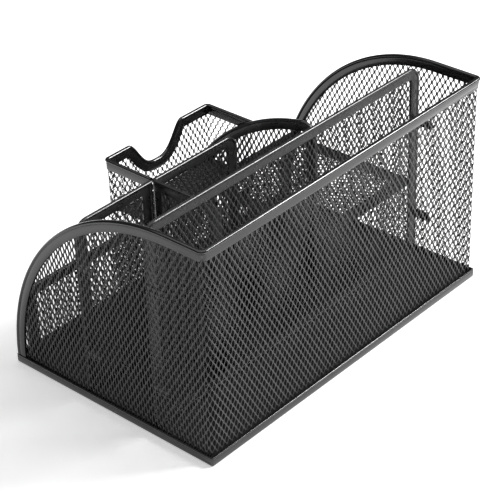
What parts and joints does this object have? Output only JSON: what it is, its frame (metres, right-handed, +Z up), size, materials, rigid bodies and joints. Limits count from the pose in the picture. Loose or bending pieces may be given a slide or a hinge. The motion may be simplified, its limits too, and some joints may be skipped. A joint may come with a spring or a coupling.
{
  "type": "mesh desk organizer",
  "caption": "Free-standing black steel mesh desk organizer with a tall rear mail slot, pen cells, a notched note holder and a raised shelf between curved ends.",
  "frame": {"origin": "centre of the base's underside, on the surface it stands on", "axes": "+X along the length towards the end with the pen cells, +Y towards the tall back, +Z up"},
  "size_m": [0.222, 0.1426, 0.127],
  "materials": {
    "rim_paint": "semi-gloss black powder coat on rolled rims",
    "frame_paint": "semi-gloss black powder coat on flat bands",
    "mesh_paint": "semi-gloss black powder coat on expanded mesh"
  },
  "bodies": {
    "root": {"base_rim": "rim_paint", "base_floor": "frame_paint", "shell_rim": "rim_paint", "shell_mesh": "mesh_paint", "rear_divider_frame": "frame_paint", "rear_divider_mesh": "mesh_paint", "side_divider_frame": "frame_paint", "side_divider_mesh": "mesh_paint", "pen_box_frame": "frame_paint", "pen_box_front_mesh": "mesh_paint", "pen_box_cross_mesh": "mesh_paint", "arc_partition_frame": "frame_paint", "arc_partition_mesh": "mesh_paint", "memo_holder_rim": "rim_paint", "memo_holder_mesh": "mesh_paint", "memo_floor_frame": "frame_paint", "memo_floor_mesh": "mesh_paint", "front_wall_frame": "frame_paint", "front_wall_mesh": "mesh_paint", "shelf_frame": "frame_paint", "shelf_mesh": "mesh_paint"}
  },
  "joints": []
}
